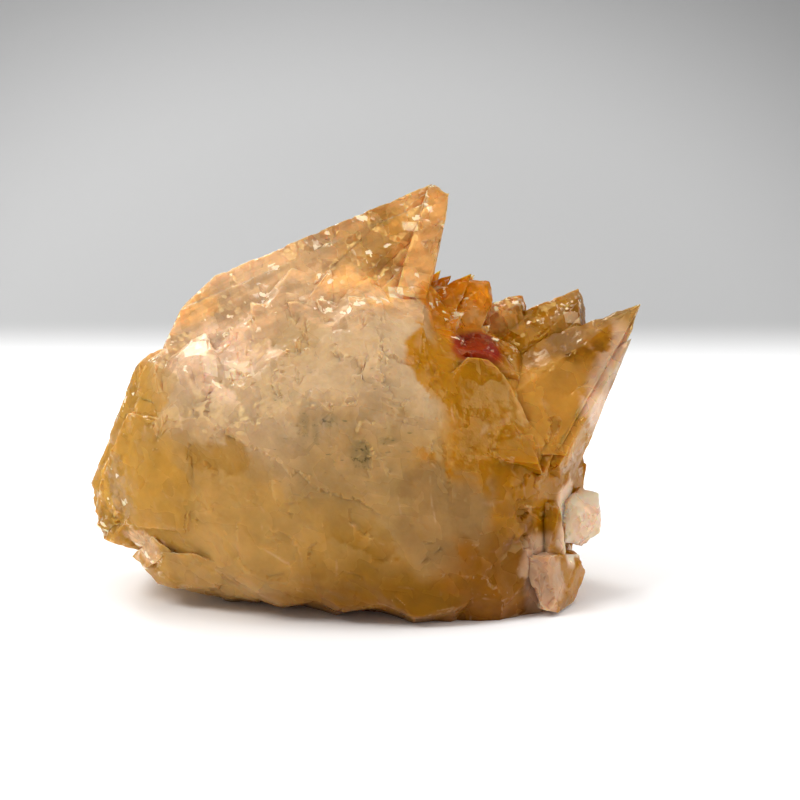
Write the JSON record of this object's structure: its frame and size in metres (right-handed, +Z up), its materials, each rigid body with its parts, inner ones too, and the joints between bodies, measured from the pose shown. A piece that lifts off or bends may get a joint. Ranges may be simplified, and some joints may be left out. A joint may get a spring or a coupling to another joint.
{
  "type": "calcite crystal cluster",
  "caption": "Golden dog-tooth calcite specimen: slanting pointed crystals grown out of a massive, see-through, broken base that rests on its flat underside.",
  "frame": {"origin": "under the middle of the specimen's bounding box, on the flat face that it rests on", "axes": "+Z up from the resting face, +X to the right, the way that the crystals lean, +Y to the back"},
  "size_m": [0.1212, 0.0744, 0.0907],
  "materials": {
    "golden_calcite": "clear to milky golden calcite, glassy on the crystal faces and dull where it broke"
  },
  "bodies": {
    "root": {"calcite_cluster": "golden_calcite"}
  },
  "joints": []
}
